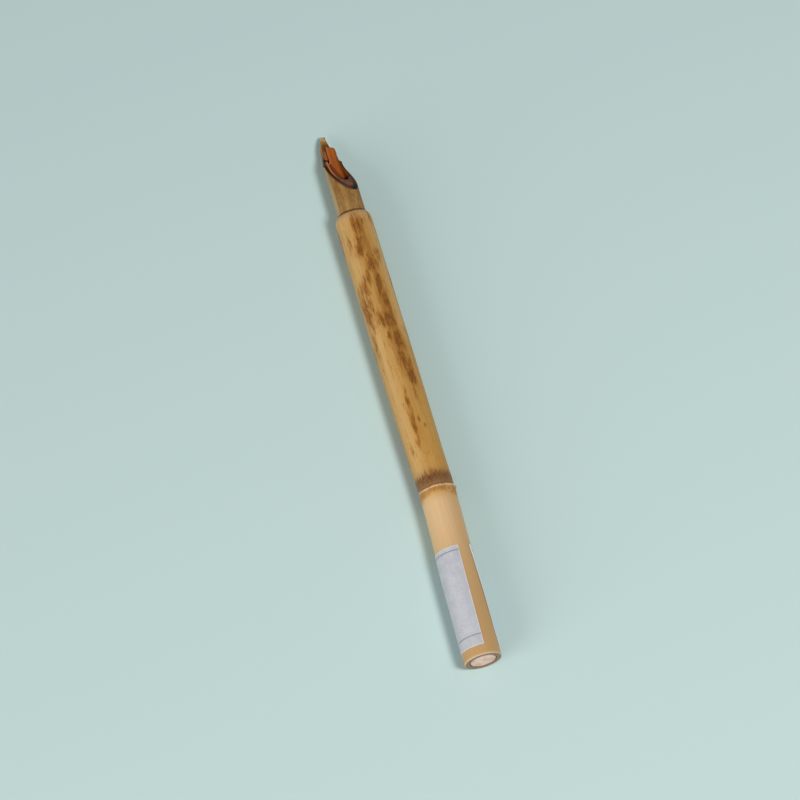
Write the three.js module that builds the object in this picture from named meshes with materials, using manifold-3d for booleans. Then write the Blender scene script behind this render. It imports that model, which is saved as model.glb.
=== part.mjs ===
// A dip pen made of reed: a bamboo holder, a broad reed nib pushed into it, a thinner reed
// inside the nib that holds the ink, a wooden plug in the rear end and a paper label.
//
// Millimetres, +Z up. The pen lies along X with its tip towards +X, and the origin is at the
// middle of its underside. Inside this file x is measured from the holder's front rim: the nib
// is ahead of the rim, at positive x, and the holder runs back from it.

import * as THREE from 'three';
import { mergeVertices } from 'three/addons/utils/BufferGeometryUtils.js';
import Module from 'manifold-3d';

// ---------------------------------------------------------------- driving dimensions

// Every round piece has the same number of flats, one of them underneath.
const FLATS = 24;
const FLAT_ANGLE = (2 * Math.PI) / FLATS;

// Holder culm
const HOLDER_LENGTH = 147.7;
const HOLDER_RADIUS = 5.7;
const NODE_X = -92.6;           // the joint of the culm, where its wall grows right across
const SEPTUM_THICKNESS = 2.2;
const CULM_BORE_RADIUS = 4.1;   // natural hollow of both internodes
const SOCKET_RADIUS = 4.55;     // front hollow opened out for the nib
const SOCKET_DEPTH = 19.5;
const LIP_LENGTH = 2;           // the front rim is rounded over
const REAR_BORE_RADIUS = 4.15;  // rear hollow opened out for the plug
const REAR_BORE_DEPTH = 7;
const REAR_CHAMFER = 0.25;
const BEND_DEGREES = 1.5;       // the rear internode leaves the node at this angle, towards +Y

// Sheath scar: the ridge round the node, which stands out most on the -Y side
const SCAR_RADIUS = 5.95;
const SCAR_HALF_WIDTH = 0.9;
const SCAR_CREST_HALF_WIDTH = 0.35;
const SCAR_SIDE_SHIFT = -0.2;
const SCAR_LIFT = 0.05;

// Nib reed
const NIB_RADIUS = 4.38;
const NIB_BORE_RADIUS = 3.53;
const NIB_TIP_X = 29.4;
const NIB_TENON = 18;           // length inside the holder
const SCOOP_START_X = 7;        // where the scoop enters the top of the reed
const SCOOP_DEGREES = 29.25;    // how steeply it goes down from there
const SCOOP_LEVEL_X = 22.3;     // where it has run out level
const SCOOP_FLOOR = -1.81;      // its height there, from the axis
const SCOOP_EASE = 0.5;         // how gently the slope turns into the floor
const SCOOP_STEPS = 15;
const SCOOP_ROLL = 36;          // degrees from +Z towards -Y that the scoop opens to
const TIP_ROLL = 17;            // the same for the direction that the tip is trimmed from
const TIP_WIDTH = 1;
const TIP_THICKNESS = 0.4;
const TIP_BEVEL_LENGTH = 2.2;
const SLIT_WIDTH = 0.15;
const SLIT_LENGTH = 8;

// Reservoir reed
const RESERVOIR_RADIUS = 3.38;
const RESERVOIR_BORE_RADIUS = 2.9;
const RESERVOIR_REAR_X = -9;
const RESERVOIR_TIP_X = 25.6;
const RESERVOIR_PROUD = 0.1;    // how far its slope stands above the nib's
const RESERVOIR_FLOOR = -0.6;   // where its cut runs out level, higher than the nib's
const RESERVOIR_EASE = 1;
const TONGUE_ROLL = 3;
const TONGUE_WIDTH = 2.75;
const TONGUE_ROOT_X = 20.2;

// End plug
const PLUG_RADIUS = 3.85;
const PLUG_LENGTH = 6;
const PLUG_CHAMFER = 0.3;

// Paper label, which goes from START_ANGLE over the top, down the +Y side and underneath
const LABEL_LENGTH = 31.7;
const LABEL_REAR_MARGIN = 3.7;
const LABEL_GAP = 0.06;
const LABEL_THICKNESS = 0.14;
const LABEL_START_ANGLE = 13;   // degrees from +Z towards -Y
const LABEL_WRAP = 305;         // degrees of the culm that it covers

const CUT_REACH = 12;           // how far the cutting shapes reach to the sides of the reeds
const CUT_CLEARANCE = 2;        // how far they reach past the tip
const CUT_FRONT = NIB_TIP_X + CUT_CLEARANCE;
const MERGE_DISTANCE = 1e-4;

// ---------------------------------------------------------------- shaping helpers

const wasm = await Module();
wasm.setup();

// A solid turned about the X axis from [radius, x] points, which run forwards on its outside.
function turned(profile) {
  const points = profile.map(([radius, x]) => new THREE.Vector2(radius, x));
  const geometry = new THREE.LatheGeometry(points, FLATS, FLAT_ANGLE / 2);
  return geometry.rotateZ(-Math.PI / 2);
}

// A ring section for turned(), closed on itself.
function tubeProfile(outerRadius, boreRadius, rearX, frontX) {
  return [
    [boreRadius, rearX],
    [outerRadius, rearX],
    [outerRadius, frontX],
    [boreRadius, frontX],
    [boreRadius, rearX],
  ];
}

function toSolid(geometry) {
  const bare = geometry.clone();
  bare.deleteAttribute('normal');
  bare.deleteAttribute('uv');
  const merged = mergeVertices(bare, MERGE_DISTANCE);
  const triangles = [];
  const index = merged.index.array;
  for (let i = 0; i < index.length; i += 3) {
    const [a, b, c] = [index[i], index[i + 1], index[i + 2]];
    if (a !== b && b !== c && c !== a) {
      triangles.push(a, b, c);
    }
  }
  return new wasm.Manifold(new wasm.Mesh({
    numProp: 3,
    vertProperties: merged.attributes.position.array,
    triVerts: new Uint32Array(triangles),
  }));
}

function toGeometry(solid) {
  const mesh = solid.getMesh();
  const geometry = new THREE.BufferGeometry();
  geometry.setAttribute('position', new THREE.BufferAttribute(mesh.vertProperties, 3));
  geometry.setIndex(new THREE.BufferAttribute(mesh.triVerts, 1));
  geometry.computeVertexNormals();
  return geometry;
}

// Side view cutter: a shape of (x, height towards the opening), as wide as the cut needs.
function sideCutter(shape, rollDegrees) {
  const geometry = new THREE.ExtrudeGeometry(shape, { depth: 2 * CUT_REACH, bevelEnabled: false });
  geometry.translate(0, 0, -CUT_REACH);
  geometry.rotateX(Math.PI / 2);
  return geometry.rotateX(THREE.MathUtils.degToRad(rollDegrees));
}

// Plan view cutter: a shape of (x, distance to the left), as tall as the cut needs.
function planCutter(shape, rollDegrees) {
  const geometry = new THREE.ExtrudeGeometry(shape, { depth: 2 * CUT_REACH, bevelEnabled: false });
  geometry.translate(0, 0, -CUT_REACH);
  return geometry.rotateX(THREE.MathUtils.degToRad(rollDegrees));
}

function cutAway(geometry, cutters) {
  const solid = cutters.reduce((left, cutter) => left.subtract(toSolid(cutter)), toSolid(geometry));
  return toGeometry(solid);
}

// How far the culm's axis has moved towards +Y at x.
function bendShift(x) {
  return x < NODE_X ? (NODE_X - x) * Math.tan(THREE.MathUtils.degToRad(BEND_DEGREES)) : 0;
}

function bent(geometry) {
  const position = geometry.attributes.position;
  for (let i = 0; i < position.count; i += 1) {
    position.setY(i, position.getY(i) + bendShift(position.getX(i)));
  }
  return geometry;
}

function piece(name, geometry, color, roughness) {
  const material = new THREE.MeshStandardMaterial({ color, roughness, metalness: 0 });
  const mesh = new THREE.Mesh(geometry, material);
  mesh.name = name;
  return mesh;
}

// ---------------------------------------------------------------- holder

function holderCulm() {
  const rearX = -HOLDER_LENGTH;
  const lipDepth = HOLDER_RADIUS - SOCKET_RADIUS;
  const lipSteps = 5;
  const lip = [];
  for (let i = 0; i <= lipSteps; i += 1) {
    const turn = ((i / lipSteps) * Math.PI) / 2;
    lip.push([SOCKET_RADIUS + lipDepth * Math.cos(turn), LIP_LENGTH * (Math.sin(turn) - 1)]);
  }
  const geometry = turned([
    [0, NODE_X - SEPTUM_THICKNESS / 2],
    [CULM_BORE_RADIUS, NODE_X - SEPTUM_THICKNESS / 2],
    [CULM_BORE_RADIUS, rearX + REAR_BORE_DEPTH],
    [REAR_BORE_RADIUS, rearX + REAR_BORE_DEPTH],
    [REAR_BORE_RADIUS, rearX],
    [HOLDER_RADIUS - REAR_CHAMFER, rearX],
    [HOLDER_RADIUS, rearX + REAR_CHAMFER],
    [HOLDER_RADIUS, NODE_X - SCAR_HALF_WIDTH],
    [SCAR_RADIUS, NODE_X - SCAR_CREST_HALF_WIDTH],
    [SCAR_RADIUS, NODE_X],
    [SCAR_RADIUS, NODE_X + SCAR_CREST_HALF_WIDTH],
    [HOLDER_RADIUS, NODE_X + SCAR_HALF_WIDTH],
    ...lip,
    [SOCKET_RADIUS, -SOCKET_DEPTH],
    [CULM_BORE_RADIUS, -SOCKET_DEPTH],
    [CULM_BORE_RADIUS, NODE_X + SEPTUM_THICKNESS / 2],
    [0, NODE_X + SEPTUM_THICKNESS / 2],
  ]);
  const position = geometry.attributes.position;
  const crestFrom = (HOLDER_RADIUS + SCAR_RADIUS) / 2;
  for (let i = 0; i < position.count; i += 1) {
    if (Math.hypot(position.getY(i), position.getZ(i)) > crestFrom) {
      position.setY(i, position.getY(i) + SCAR_SIDE_SHIFT);
      position.setZ(i, position.getZ(i) + SCAR_LIFT);
    }
  }
  return bent(geometry);
}

function endPlug() {
  const rearX = -HOLDER_LENGTH;
  return bent(turned([
    [0, rearX],
    [PLUG_RADIUS, rearX],
    [PLUG_RADIUS, rearX + PLUG_LENGTH - PLUG_CHAMFER],
    [PLUG_RADIUS - PLUG_CHAMFER, rearX + PLUG_LENGTH],
    [0, rearX + PLUG_LENGTH],
  ]));
}

// The point of a flat-sided ring at an angle from +Z towards -Y.
function ringPoint(radius, degrees) {
  const angle = THREE.MathUtils.degToRad(degrees);
  const flatCentre = Math.round(angle / FLAT_ANGLE) * FLAT_ANGLE;
  const reach = (radius * Math.cos(FLAT_ANGLE / 2)) / Math.cos(angle - flatCentre);
  return new THREE.Vector2(-reach * Math.sin(angle), reach * Math.cos(angle));
}

function paperLabel() {
  const flat = THREE.MathUtils.radToDeg(FLAT_ANGLE);
  const end = LABEL_START_ANGLE - LABEL_WRAP;
  const angles = [LABEL_START_ANGLE];
  for (let corner = flat / 2; corner > end; corner -= flat) {
    angles.push(corner);
  }
  angles.push(end);
  const inner = HOLDER_RADIUS + LABEL_GAP;
  const outline = [
    ...angles.map((angle) => ringPoint(inner + LABEL_THICKNESS, angle)),
    ...angles.map((angle) => ringPoint(inner, angle)).reverse(),
  ];
  const geometry = new THREE.ExtrudeGeometry(new THREE.Shape(outline), {
    depth: LABEL_LENGTH,
    bevelEnabled: false,
  });
  // The shape lies across the pen and is extruded along it.
  const across = new THREE.Matrix4().makeBasis(
    new THREE.Vector3(0, 1, 0),
    new THREE.Vector3(0, 0, 1),
    new THREE.Vector3(1, 0, 0),
  );
  geometry.applyMatrix4(across);
  geometry.translate(LABEL_REAR_MARGIN - HOLDER_LENGTH, 0, 0);
  return bent(geometry);
}

// ---------------------------------------------------------------- nib and reservoir

// The scoop that lays a reed open, seen from the side: a straight slope that eases into a floor.
// raise lifts the slope towards the opening.
function scoopCutter(raise, floor, ease) {
  const slope = Math.tan(THREE.MathUtils.degToRad(SCOOP_DEGREES));
  const shape = new THREE.Shape();
  shape.moveTo(SCOOP_START_X, CUT_REACH);
  for (let i = 0; i <= SCOOP_STEPS; i += 1) {
    const ahead = ((SCOOP_LEVEL_X - SCOOP_START_X) * i) / SCOOP_STEPS;
    const line = NIB_RADIUS + raise - slope * ahead;
    const height = floor + ease * Math.log1p(Math.exp((line - floor) / ease));
    shape.lineTo(SCOOP_START_X + ahead, height);
  }
  shape.lineTo(CUT_FRONT, floor);
  shape.lineTo(CUT_FRONT, CUT_REACH);
  return sideCutter(shape, SCOOP_ROLL);
}

// What is trimmed off one side of a tip: everything beyond an edge line given from its root
// forwards. side is 1 on the left and -1 on the right.
function trimCutter(edge, side, rollDegrees) {
  const points = edge.map(([x, width]) => new THREE.Vector2(x, side * width));
  const shape = new THREE.Shape(points);
  shape.lineTo(CUT_FRONT, points.at(-1).y);
  shape.lineTo(CUT_FRONT, side * CUT_REACH);
  shape.lineTo(points[0].x, side * CUT_REACH);
  return planCutter(shape, rollDegrees);
}

function nibReed() {
  const tube = turned(tubeProfile(NIB_RADIUS, NIB_BORE_RADIUS, -NIB_TENON, NIB_TIP_X));
  const leftEdge = [
    [17.4, NIB_RADIUS + 0.1],
    [18.6, 4],
    [19.7, 3.45],
    [20.9, 3.02],
    [24.6, 2.39],
    [27.3, 1.58],
    [NIB_TIP_X, TIP_WIDTH / 2],
  ];
  const rightEdge = [
    [19.2, NIB_RADIUS + 0.1],
    [20, 3.4],
    [21.5, 2.4],
    [24, 1.6],
    [26.2, 0.85],
    [27.7, 0.58],
    [NIB_TIP_X, TIP_WIDTH / 2],
  ];
  const bevel = new THREE.Shape([
    new THREE.Vector2(NIB_TIP_X - TIP_BEVEL_LENGTH, -NIB_BORE_RADIUS),
    new THREE.Vector2(NIB_TIP_X, TIP_THICKNESS - NIB_RADIUS),
    new THREE.Vector2(CUT_FRONT, TIP_THICKNESS - NIB_RADIUS),
    new THREE.Vector2(CUT_FRONT, CUT_REACH),
    new THREE.Vector2(NIB_TIP_X - TIP_BEVEL_LENGTH, CUT_REACH),
  ]);
  const slit = new THREE.Shape([
    new THREE.Vector2(NIB_TIP_X - SLIT_LENGTH, -SLIT_WIDTH / 2),
    new THREE.Vector2(CUT_FRONT, -SLIT_WIDTH / 2),
    new THREE.Vector2(CUT_FRONT, SLIT_WIDTH / 2),
    new THREE.Vector2(NIB_TIP_X - SLIT_LENGTH, SLIT_WIDTH / 2),
  ]);
  return cutAway(tube, [
    scoopCutter(0, SCOOP_FLOOR, SCOOP_EASE),
    trimCutter(leftEdge, 1, TIP_ROLL),
    trimCutter(rightEdge, -1, TIP_ROLL),
    sideCutter(bevel, TIP_ROLL),
    planCutter(slit, TIP_ROLL),
  ]);
}

function reservoirReed() {
  const tube = turned(
    tubeProfile(RESERVOIR_RADIUS, RESERVOIR_BORE_RADIUS, RESERVOIR_REAR_X, RESERVOIR_TIP_X),
  );
  const half = TONGUE_WIDTH / 2;
  const leftEdge = [
    [TONGUE_ROOT_X - 1.6, RESERVOIR_RADIUS + 0.3],
    [TONGUE_ROOT_X - 0.7, 2.1],
    [TONGUE_ROOT_X, half + 0.1],
    [TONGUE_ROOT_X + 1.2, half],
    [RESERVOIR_TIP_X - 2, half],
    [RESERVOIR_TIP_X, half - 0.1],
  ];
  const rightEdge = [
    [13, RESERVOIR_RADIUS + 0.3],
    [14, 2.6],
    [15.2, 2.2],
    [17.8, 1.65],
    [19.5, 1.52],
    [TONGUE_ROOT_X + 1.2, half],
    [RESERVOIR_TIP_X - 2, half],
    [RESERVOIR_TIP_X - 1.1, half - 0.2],
    [RESERVOIR_TIP_X - 0.6, half - 0.7],
    [RESERVOIR_TIP_X, 0.1 - half],
  ];
  return cutAway(tube, [
    scoopCutter(RESERVOIR_PROUD, RESERVOIR_FLOOR, RESERVOIR_EASE),
    trimCutter(leftEdge, 1, TONGUE_ROLL),
    trimCutter(rightEdge, -1, TONGUE_ROLL),
  ]);
}

// ---------------------------------------------------------------- assembly

const holder = new THREE.Group();
holder.add(piece('holder_culm', holderCulm(), 0xc8a05f, 0.5));
holder.add(piece('end_plug', endPlug(), 0xd8c0ac, 0.7));
holder.add(piece('paper_label', paperLabel(), 0xc9c9ce, 0.85));

const nib = new THREE.Group();
nib.add(piece('nib_reed', nibReed(), 0xa0825a, 0.55));

const reservoir = new THREE.Group();
reservoir.add(piece('reservoir_reed', reservoirReed(), 0xb5651d, 0.45));

const pen = new THREE.Group();
pen.add(holder, nib, reservoir);

// Put the origin at the middle of the underside.
const extent = new THREE.Box3().setFromObject(pen, true);
const middle = extent.getCenter(new THREE.Vector3());
pen.position.set(-middle.x, -middle.y, -extent.min.z);

export default pen;
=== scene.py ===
import math
import random

import bmesh
import bpy
import numpy as np
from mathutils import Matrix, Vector, noise


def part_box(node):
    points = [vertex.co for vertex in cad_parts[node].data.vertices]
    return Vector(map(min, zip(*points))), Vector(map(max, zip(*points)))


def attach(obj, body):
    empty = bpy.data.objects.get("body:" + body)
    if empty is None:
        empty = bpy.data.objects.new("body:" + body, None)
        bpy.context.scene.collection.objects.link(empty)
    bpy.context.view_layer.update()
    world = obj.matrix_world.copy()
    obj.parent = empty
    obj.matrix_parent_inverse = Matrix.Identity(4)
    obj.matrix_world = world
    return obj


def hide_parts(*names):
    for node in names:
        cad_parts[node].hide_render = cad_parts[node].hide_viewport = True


# The looks of a reed dip pen: a bamboo holder with one node, a scooped broad nib, the thin reed
# inside it that holds the ink, a wooden end plug and a paper label. Shapes are worked out in
# millimetres: x runs forwards from the holder's front rim, and a roll angle is measured from
# straight up towards -Y.

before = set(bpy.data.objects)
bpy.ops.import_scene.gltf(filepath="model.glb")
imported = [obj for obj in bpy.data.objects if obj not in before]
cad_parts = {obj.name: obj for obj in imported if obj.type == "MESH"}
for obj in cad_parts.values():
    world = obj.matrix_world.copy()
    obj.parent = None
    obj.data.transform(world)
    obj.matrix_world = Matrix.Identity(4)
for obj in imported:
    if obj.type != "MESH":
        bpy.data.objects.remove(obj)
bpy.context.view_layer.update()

MM = 0.001
FLATNESS = math.cos(math.pi / 24)  # the CAD solids are 24-sided, and these are round

# ---------------------------------------------------------------- places read from the frame

culm_low, culm_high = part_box("holder_culm")
nib_low, nib_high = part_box("nib_reed")
reservoir_low, reservoir_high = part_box("reservoir_reed")
label_low, label_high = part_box("paper_label")
plug_low, plug_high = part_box("end_plug")

RIM_X = culm_high.x
AXIS_Y = (nib_low.y + nib_high.y) / 2
AXIS_Z = (nib_low.z + nib_high.z) / 2
HOLDER_REAR = (culm_low.x - RIM_X) / MM
NIB_TIP = (nib_high.x - RIM_X) / MM
NIB_REAR = (nib_low.x - RIM_X) / MM
NIB_RADIUS = (nib_high.y - nib_low.y) / 2 / FLATNESS / MM
RESERVOIR_TIP = (reservoir_high.x - RIM_X) / MM
RESERVOIR_REAR = (reservoir_low.x - RIM_X) / MM
RESERVOIR_RADIUS = (reservoir_high.y - reservoir_low.y) / 2 / FLATNESS / MM
LABEL_FRONT = (label_high.x - RIM_X) / MM
LABEL_REAR = (label_low.x - RIM_X) / MM
PLUG_RADIUS = (plug_high.y - plug_low.y) / 2 / FLATNESS / MM
PLUG_FRONT = (plug_high.x - RIM_X) / MM

# ---------------------------------------------------------------- the pen's own dimensions

HOLDER_RADIUS = 5.67
NODE = -92.6            # where the sheath scar is
SEPTUM = 2.2            # the wall across the culm at the node
BORE_RADIUS = 4.1
SOCKET_RADIUS = 4.55    # the hole that the nib is pushed into
SOCKET_DEPTH = 19.5
PLUG_HOLE_RADIUS = 4.15
PLUG_HOLE_DEPTH = 7.0
LIP = 2.2               # how far back the front rim is rounded
BEND = math.tan(math.radians(1.5))
SAW_SLOPE = math.tan(math.radians(2.5))
SAWN_LENGTH = 4.0       # the sawn end's slant has died out this far ahead of it
NIB_WALL = 0.85
RESERVOIR_WALL = 0.48
SCOOP_ROLL = 36.0       # the way the scoop opens
SCOOP_START = 7.0
SCOOP_SLOPE = math.tan(math.radians(29.25))
SCOOP_FLOOR = -1.81     # the flat part's height over the axis
SCOOP_EASE = 0.5        # how soft the change from slope to floor is
RESERVOIR_START = SCOOP_START + 1.2
RESERVOIR_PROUD = 0.1   # of the nib's cut face
RESERVOIR_FLOOR = -0.6
RESERVOIR_EASE = 1.0
REED_SHIFT = 0.1        # the nib sits this far off centre in its socket, towards -Y
TIP_ROLL = 17.0         # the nib's tip and the tongue are trimmed as seen from these rolls
TONGUE_ROLL = 3.0


def smooth(low, high, value):
    """0 below low, 1 above high, and an even curve between."""
    t = np.clip((np.asarray(value, float) - low) / (high - low), 0, 1)
    return t * t * (3 - 2 * t)


def bump(centre, width, value):
    """1 at centre, and falling away on both sides over about width."""
    return np.exp(-(((np.asarray(value, float) - centre) / width) ** 2))


def rough(points, scale, seed):
    """Smooth noise from -1 to 1 at each point, after scaling its three coordinates."""
    scaled = np.asarray(points, float) * np.asarray(scale, float) + seed
    flat = scaled.reshape(-1, 3)
    values = np.array([noise.noise(Vector(p)) for p in flat])
    return values.reshape(scaled.shape[:-1])


def bend_shift(x):
    """How far the culm's axis has moved towards +Y: it leaves the node at a slight angle."""
    behind = NODE - np.asarray(x, float)
    soft = 1.5
    lean = 0.24 * bump(5, 13, behind)
    return BEND * 0.5 * (behind + np.sqrt(behind * behind + soft * soft)) - lean


def to_row(x, roll, radius):
    """Positions in metres round the bent culm, from x, roll in degrees and radius in millimetres."""
    x, roll, radius = np.broadcast_arrays(x, roll, radius)
    turn = np.radians(roll)
    y = bend_shift(x) - radius * np.sin(turn)
    z = radius * np.cos(turn)
    return np.stack([RIM_X + x * MM, AXIS_Y + y * MM, AXIS_Z + z * MM], axis=-1)


def noise_points(x, roll, radius=HOLDER_RADIUS):
    """Where to take noise, in millimetres: x and the two directions across the pen."""
    x, roll, radius = np.broadcast_arrays(x, roll, radius)
    turn = np.radians(roll)
    return np.stack([x, radius * np.cos(turn), radius * np.sin(turn)], axis=-1)


# ---------------------------------------------------------------- mesh helpers


def full_turn(columns):
    """Rolls of evenly spaced columns all the way round, as one row."""
    return (np.arange(columns) * 360.0 / columns)[None, :]


def saw_end(points, x):
    """Lean the holder's rear end forwards at its top: it is sawn a little out of square."""
    lean = SAW_SLOPE * (points[..., 2] - AXIS_Z + HOLDER_RADIUS * MM)
    points[..., 0] += lean * (1 - smooth(HOLDER_REAR, HOLDER_REAR + SAWN_LENGTH, x))


def turn_profile(profile, columns):
    """A list of (x, radius) turned about the culm's axis: its x and radius grids and its points."""
    x = np.array([p[0] for p in profile])[:, None]
    radius = np.array([p[1] for p in profile])[:, None] * np.ones((1, columns))
    points = to_row(x, full_turn(columns), radius)
    saw_end(points, x)
    return x, radius, points.reshape(-1, 3)


def grid_faces(rows, columns, start=0, wrap=False):
    faces = []
    for r in range(rows - 1):
        for c in range(columns if wrap else columns - 1):
            a = start + r * columns + c
            b = start + r * columns + (c + 1) % columns
            faces.append((a, b, b + columns, a + columns))
    return faces


def add_object(name, data):
    made = bpy.data.objects.new(name, data)
    bpy.context.scene.collection.objects.link(made)
    return made


def make_piece(name, points, faces, body, nodes, material, attributes=None, sharp=32):
    """A smooth piece that rides on a body. sharp is the angle in degrees that stays an edge."""
    mesh = bpy.data.meshes.new(name)
    mesh.from_pydata([tuple(p) for p in points], [], faces)
    for key, values in (attributes or {}).items():
        layer = mesh.attributes.new(key, "FLOAT", "POINT")
        layer.data.foreach_set("value", np.asarray(values, np.float32).ravel())
    clean = bmesh.new()
    clean.from_mesh(mesh)
    bmesh.ops.remove_doubles(clean, verts=clean.verts, dist=0.002 * MM)
    bmesh.ops.dissolve_degenerate(clean, edges=clean.edges, dist=0.0005 * MM)
    loose = [v for v in clean.verts if not v.link_faces]
    bmesh.ops.delete(clean, geom=loose, context="VERTS")
    bmesh.ops.recalc_face_normals(clean, faces=clean.faces)
    clean.to_mesh(mesh)
    clean.free()
    mesh.shade_smooth()
    mesh.set_sharp_from_angle(angle=math.radians(sharp))
    mesh.materials.append(material)
    piece = add_object(name, mesh)
    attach(piece, body)
    if nodes:
        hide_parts(*nodes)
    return piece


# ---------------------------------------------------------------- material helpers


def colour(code):
    """Linear RGBA from a six-digit sRGB code."""
    parts = [int(code[i:i + 2], 16) / 255 for i in (0, 2, 4)]
    linear = [c / 12.92 if c <= 0.04045 else ((c + 0.055) / 1.055) ** 2.4 for c in parts]
    return (*linear, 1.0)


class Finish:
    """A material made of nodes, built up from short calls."""

    def __init__(self, name, roughness=0.5, specular=0.5):
        self.material = bpy.data.materials.new(name)
        self.material.use_nodes = True
        self.tree = self.material.node_tree
        self.shader = self.tree.nodes["Principled BSDF"]
        self.shader.inputs["Roughness"].default_value = roughness
        self.shader.inputs["Specular IOR Level"].default_value = specular
        self.place = self.tree.nodes.new("ShaderNodeTexCoord").outputs["Object"]

    def put(self, value, socket):
        if isinstance(value, bpy.types.NodeSocket):
            self.tree.links.new(value, socket)
        elif value is not None:
            socket.default_value = value

    def grain(self, along, across=1.0, shift=0.0):
        """Object coordinates in millimetres, scaled along the pen and across it."""
        node = self.tree.nodes.new("ShaderNodeMapping")
        node.inputs["Scale"].default_value = (along / MM, across / MM, across / MM)
        node.inputs["Location"].default_value = (shift, shift * 0.7, shift * 1.3)
        self.put(self.place, node.inputs["Vector"])
        return node.outputs["Vector"]

    def noise(self, vector, detail=2.0, roughness=0.5, distortion=0.0):
        node = self.tree.nodes.new("ShaderNodeTexNoise")
        node.inputs["Scale"].default_value = 1.0
        node.inputs["Detail"].default_value = detail
        node.inputs["Roughness"].default_value = roughness
        node.inputs["Distortion"].default_value = distortion
        self.put(vector, node.inputs["Vector"])
        return node.outputs["Fac"]

    def calc(self, operation, first, second, third=None):
        node = self.tree.nodes.new("ShaderNodeMath")
        node.operation = operation
        self.put(first, node.inputs[0])
        self.put(second, node.inputs[1])
        self.put(third, node.inputs[2])
        return node.outputs[0]

    def times(self, first, second):
        return self.calc("MULTIPLY", first, second)

    def ragged(self, mask, noise, amount):
        """A mask with noise added to it, which makes its edge ragged once it is put in a span."""
        return self.calc("MULTIPLY_ADD", self.calc("SUBTRACT", noise, 0.5), amount, mask)

    def span(self, value, low, high, to_low=0.0, to_high=1.0):
        """value from low..high to to_low..to_high, clamped and eased."""
        node = self.tree.nodes.new("ShaderNodeMapRange")
        node.interpolation_type = "SMOOTHSTEP"
        for socket, number in zip(node.inputs, (value, low, high, to_low, to_high)):
            self.put(number, socket)
        return node.outputs["Result"]

    def mix(self, factor, first, second):
        node = self.tree.nodes.new("ShaderNodeMix")
        node.data_type = "RGBA"
        self.put(factor, node.inputs["Factor"])
        self.put(first, node.inputs[6])
        self.put(second, node.inputs[7])
        return node.outputs[2]

    def attribute(self, name):
        node = self.tree.nodes.new("ShaderNodeAttribute")
        node.attribute_name = name
        return node.outputs["Fac"]

    def finish(self, base, roughness=None, height=None, depth=0.02):
        """The material, with bumps depth millimetres high where a height is given."""
        self.put(base, self.shader.inputs["Base Color"])
        self.put(roughness, self.shader.inputs["Roughness"])
        if height is not None:
            node = self.tree.nodes.new("ShaderNodeBump")
            node.inputs["Strength"].default_value = 1.0
            node.inputs["Distance"].default_value = depth * MM
            self.put(height, node.inputs["Height"])
            self.put(node.outputs["Normal"], self.shader.inputs["Normal"])
        return self.material


# ---------------------------------------------------------------- holder

# Brown flecked patches that show: distance behind the rim, roll, half length, half width, strength.
MOTTLES = [
    (5.0, -10, 3.6, 0.8, 0.75), (6.0, 4, 4.0, 0.8, 0.8), (5.2, 15, 3.2, 0.7, 0.65),
    (3.5, 54, 3.0, 0.7, 0.8), (10.5, 8, 3.0, 0.9, 0.6), (11.5, -5, 3.4, 1.3, 0.8),
    (13.8, -14, 3.0, 1.2, 0.95), (11.0, -42, 4.0, 1.0, 0.55), (15.7, 38, 2.6, 1.4, 0.75),
    (18.0, 9, 3.4, 2.0, 0.9), (19.5, -2, 2.4, 1.2, 0.6), (23.0, -12, 3.0, 1.0, 0.8),
    (25.3, 14, 3.8, 1.2, 0.95), (26.0, -37, 3.6, 1.7, 0.9), (29.0, 6, 3.6, 1.2, 0.6),
    (31.5, 19, 5.4, 1.0, 1.0), (32.0, -50, 7.5, 2.9, 0.75), (31.0, -30, 3.0, 1.2, 0.6),
    (37.2, 4, 3.6, 2.3, 0.9), (35.5, -18, 2.6, 1.0, 0.65), (38.0, 24, 3.0, 1.1, 0.75),
    (44.5, 20, 4.6, 1.7, 0.95), (43.0, -2, 3.0, 1.0, 0.55), (43.0, -62, 9.0, 0.8, 0.6),
    (51.0, 16, 4.0, 1.2, 0.9), (53.0, 32, 3.0, 1.2, 0.7), (56.8, 28, 4.0, 1.7, 1.0),
    (62.5, 22, 3.0, 1.0, 0.6), (64.0, -8, 2.2, 0.8, 0.85), (70.5, -10, 6.6, 0.8, 0.9),
    (71.0, 9, 1.2, 0.5, 0.6), (73.0, 24, 1.0, 0.6, 0.6), (78.5, -16, 2.0, 0.8, 0.55),
    (79.0, -44, 2.4, 0.7, 0.6),
]
# How many more there are out of sight, and the ranges that the same five numbers are drawn from.
HIDDEN_MOTTLES = 34
HIDDEN_RANGES = [(4, 80), (75, 290), (1.5, 6), (0.7, 1.6), (0.5, 1.0)]


def hidden_mottles():
    """More patches of the same kind round the sides and underneath."""
    pick = random.Random(7)
    found = []
    for _ in range(HIDDEN_MOTTLES):
        found.append(tuple(pick.uniform(low, high) for low, high in HIDDEN_RANGES))
    return found


def from_roll(roll, centre):
    """Degrees from centre to roll the short way round, -180 to 180."""
    return (roll - centre + 180) % 360 - 180


def mottle_mask(x, roll):
    mask = np.zeros(np.broadcast(x, roll).shape)
    for behind, centre, half_length, half_width, strength in MOTTLES + hidden_mottles():
        across = np.radians(from_roll(roll, centre)) * HOLDER_RADIUS
        spot = strength * bump(-behind, half_length, x) * bump(0, half_width, across)
        mask = np.maximum(mask, spot)
    return mask


BUD_ROLL = 38.0
BUD_BEHIND = 1.35      # the node
BUD_HALF_LENGTH = 0.8
BUD_HALF_WIDTH = 0.95


def bud_distance(x, roll):
    """1 on the outline of the bud scar, 0 in its middle."""
    along = (x - NODE + BUD_BEHIND) / BUD_HALF_LENGTH
    across = np.radians(from_roll(roll, BUD_ROLL)) * HOLDER_RADIUS / BUD_HALF_WIDTH
    return np.sqrt(along ** 2 + across ** 2)


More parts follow.
